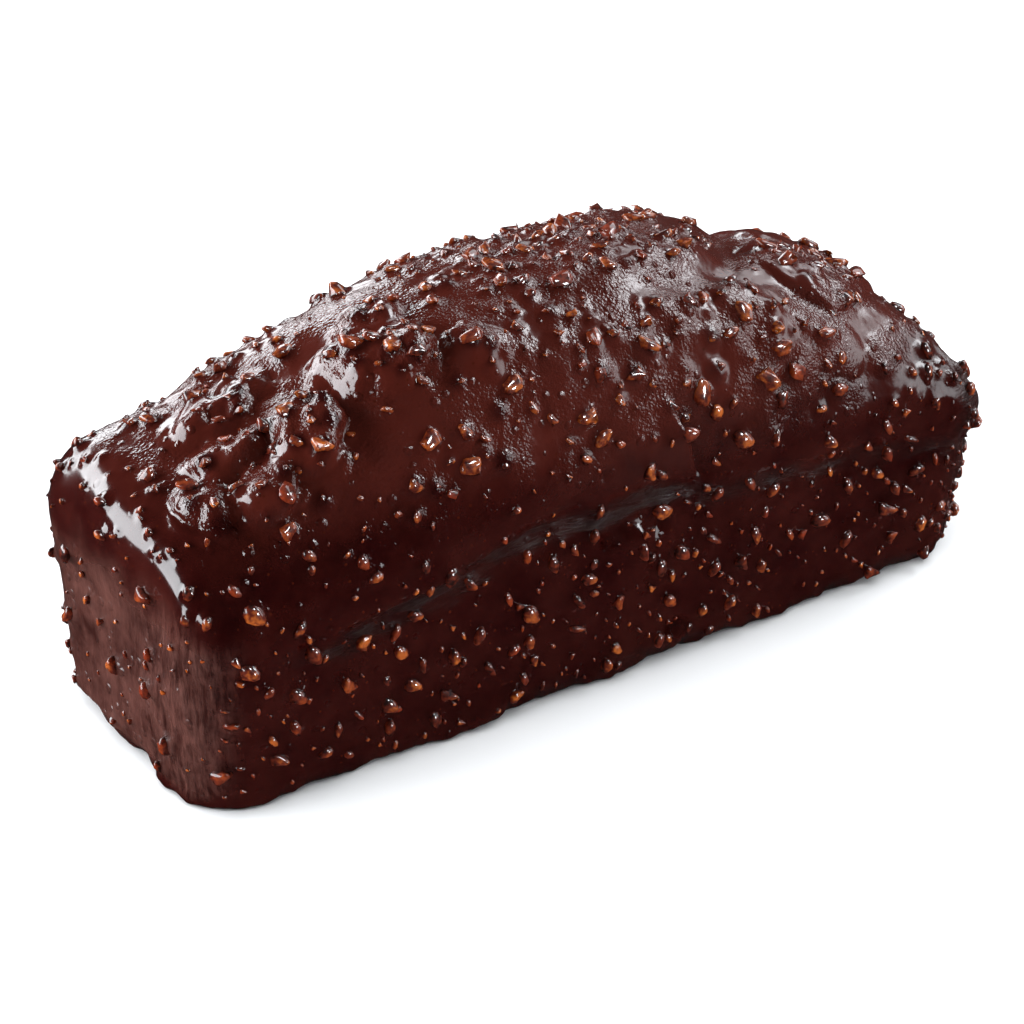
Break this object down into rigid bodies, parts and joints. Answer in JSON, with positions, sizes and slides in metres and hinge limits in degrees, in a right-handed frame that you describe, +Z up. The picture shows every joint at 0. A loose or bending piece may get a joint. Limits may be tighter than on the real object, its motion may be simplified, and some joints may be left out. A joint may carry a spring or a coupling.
{
  "type": "glazed loaf cake",
  "caption": "Whole uncut loaf cake with an arched cracked crown, coated all over in dark chocolate glaze with chopped nuts.",
  "frame": {"origin": "centre of the flat underside", "axes": "+X along the loaf from its lower end to its far end, +Z up, -Y the front long side"},
  "size_m": [0.2194, 0.0881, 0.0951],
  "materials": {
    "nut_chocolate_glaze": "semi-gloss dark chocolate glaze over cake, with chopped nuts set in it"
  },
  "bodies": {
    "root": {"marble_loaf_cake": "nut_chocolate_glaze"}
  },
  "joints": []
}
